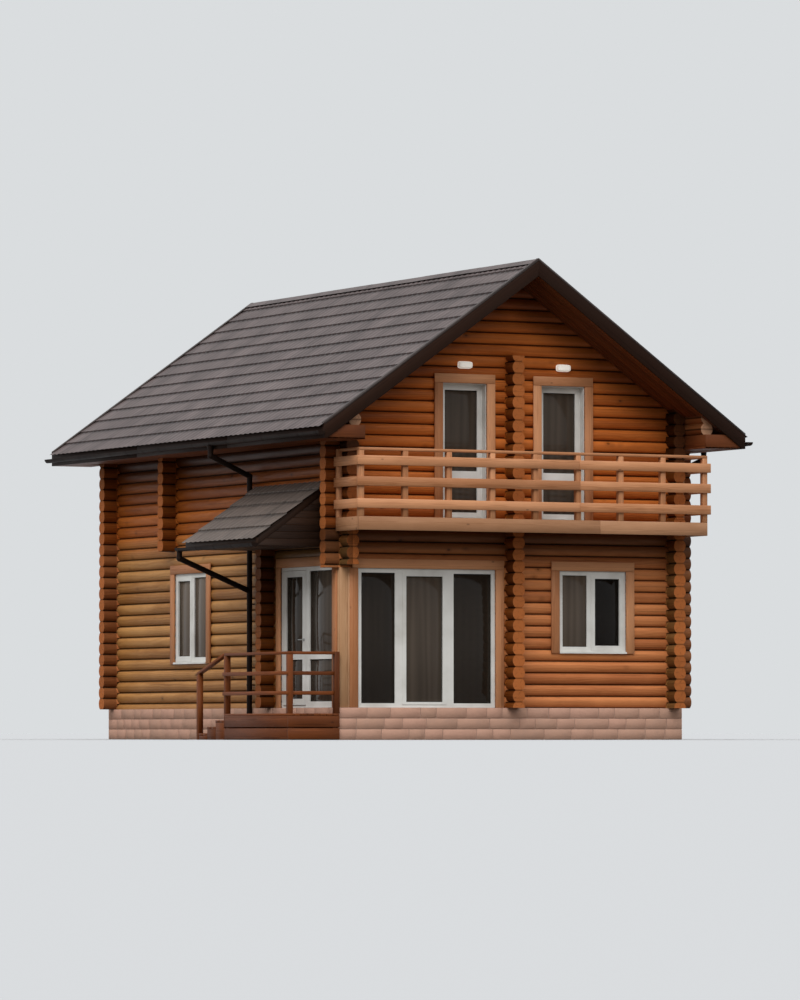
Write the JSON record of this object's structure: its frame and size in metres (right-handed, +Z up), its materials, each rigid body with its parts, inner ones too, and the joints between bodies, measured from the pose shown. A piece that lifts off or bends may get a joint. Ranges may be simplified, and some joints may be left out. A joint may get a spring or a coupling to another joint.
{
  "type": "two-storey log lake house",
  "caption": "Two-storey house of milled logs with a steep metal-tile gable roof, a front balcony, a side porch under a canopy and an opening entrance door.",
  "frame": {"origin": "on the ground under the middle of the front wall's centreline", "axes": "+Z up, +Y from the balcony front to the rear gable, +X to the right as seen from in front"},
  "size_m": [8.506, 10.78, 7.749],
  "materials": {
    "plinth_stone": "cut stone facing with mortar joints",
    "floor_pine": "planed boards and joists",
    "log_wood": "milled round logs, satin wood stain",
    "trim_pine": "planed pine boards, clear satin stain",
    "window_white": "white window profile, satin",
    "glass": "clear double glazing with a dark room behind",
    "handle_steel": "brushed lever handle",
    "roof_board": "dark brown stained boards",
    "roof_trim": "brown stained bargeboards",
    "roof_tile": "brown-grey coated steel tile sheet",
    "rainwater_brown": "dark coated steel, semi-gloss",
    "balcony_wood": "planed pine, light stain",
    "porch_wood": "reddish-brown stained boards",
    "lamp_white": "white lamp cover"
  },
  "bodies": {
    "house": {"plinth": "plinth_stone", "ground_floor": "floor_pine", "floor_joists": "floor_pine", "upper_floor": "floor_pine", "front_wall_lower": "log_wood", "front_wall_upper": "log_wood", "left_wall_lower": "log_wood", "left_wall_over_door": "log_wood", "left_wall_upper": "log_wood", "right_wall_lower": "log_wood", "right_wall_upper": "log_wood", "rear_wall_lower": "log_wood", "rear_wall_upper": "log_wood", "cross_wall_ends": "log_wood", "eave_plates": "log_wood", "corner_pier": "trim_pine", "front_casings": "trim_pine", "side_casings": "trim_pine", "rear_casings": "trim_pine", "front_windows": "window_white", "side_windows": "window_white", "rear_windows": "window_white", "balcony_doors": "window_white", "entrance_frame": "window_white", "window_glass": "glass", "roof_deck_left": "roof_board", "roof_deck_right": "roof_board", "soffits": "roof_board", "canopy_frame": "roof_board", "bargeboards": "roof_trim", "eave_fascias": "roof_trim", "roof_tiles_left": "roof_tile", "roof_tiles_right": "roof_tile", "ridge_cap": "roof_tile", "canopy_tiles": "roof_tile", "gutters": "rainwater_brown", "downpipe_left": "rainwater_brown", "downpipe_right": "rainwater_brown", "balcony_beams": "balcony_wood", "balcony_deck": "balcony_wood", "balcony_front_rail": "balcony_wood", "balcony_end_rails": "balcony_wood", "porch_deck": "porch_wood", "porch_steps": "porch_wood", "porch_outer_rail": "porch_wood", "porch_front_rail": "porch_wood", "porch_stair_rail": "porch_wood", "wall_lamps": "lamp_white"},
    "door": {"entrance_door": "window_white", "door_glass": "glass", "door_handle": "handle_steel"}
  },
  "joints": [
    {"name": "entrance_hinge", "type": "hinge", "parent": "house", "child": "door", "pos_m": [-3.022, 1.972, 0.562], "axis": [0, 0, 1], "range_deg": [0, 90]}
  ]
}
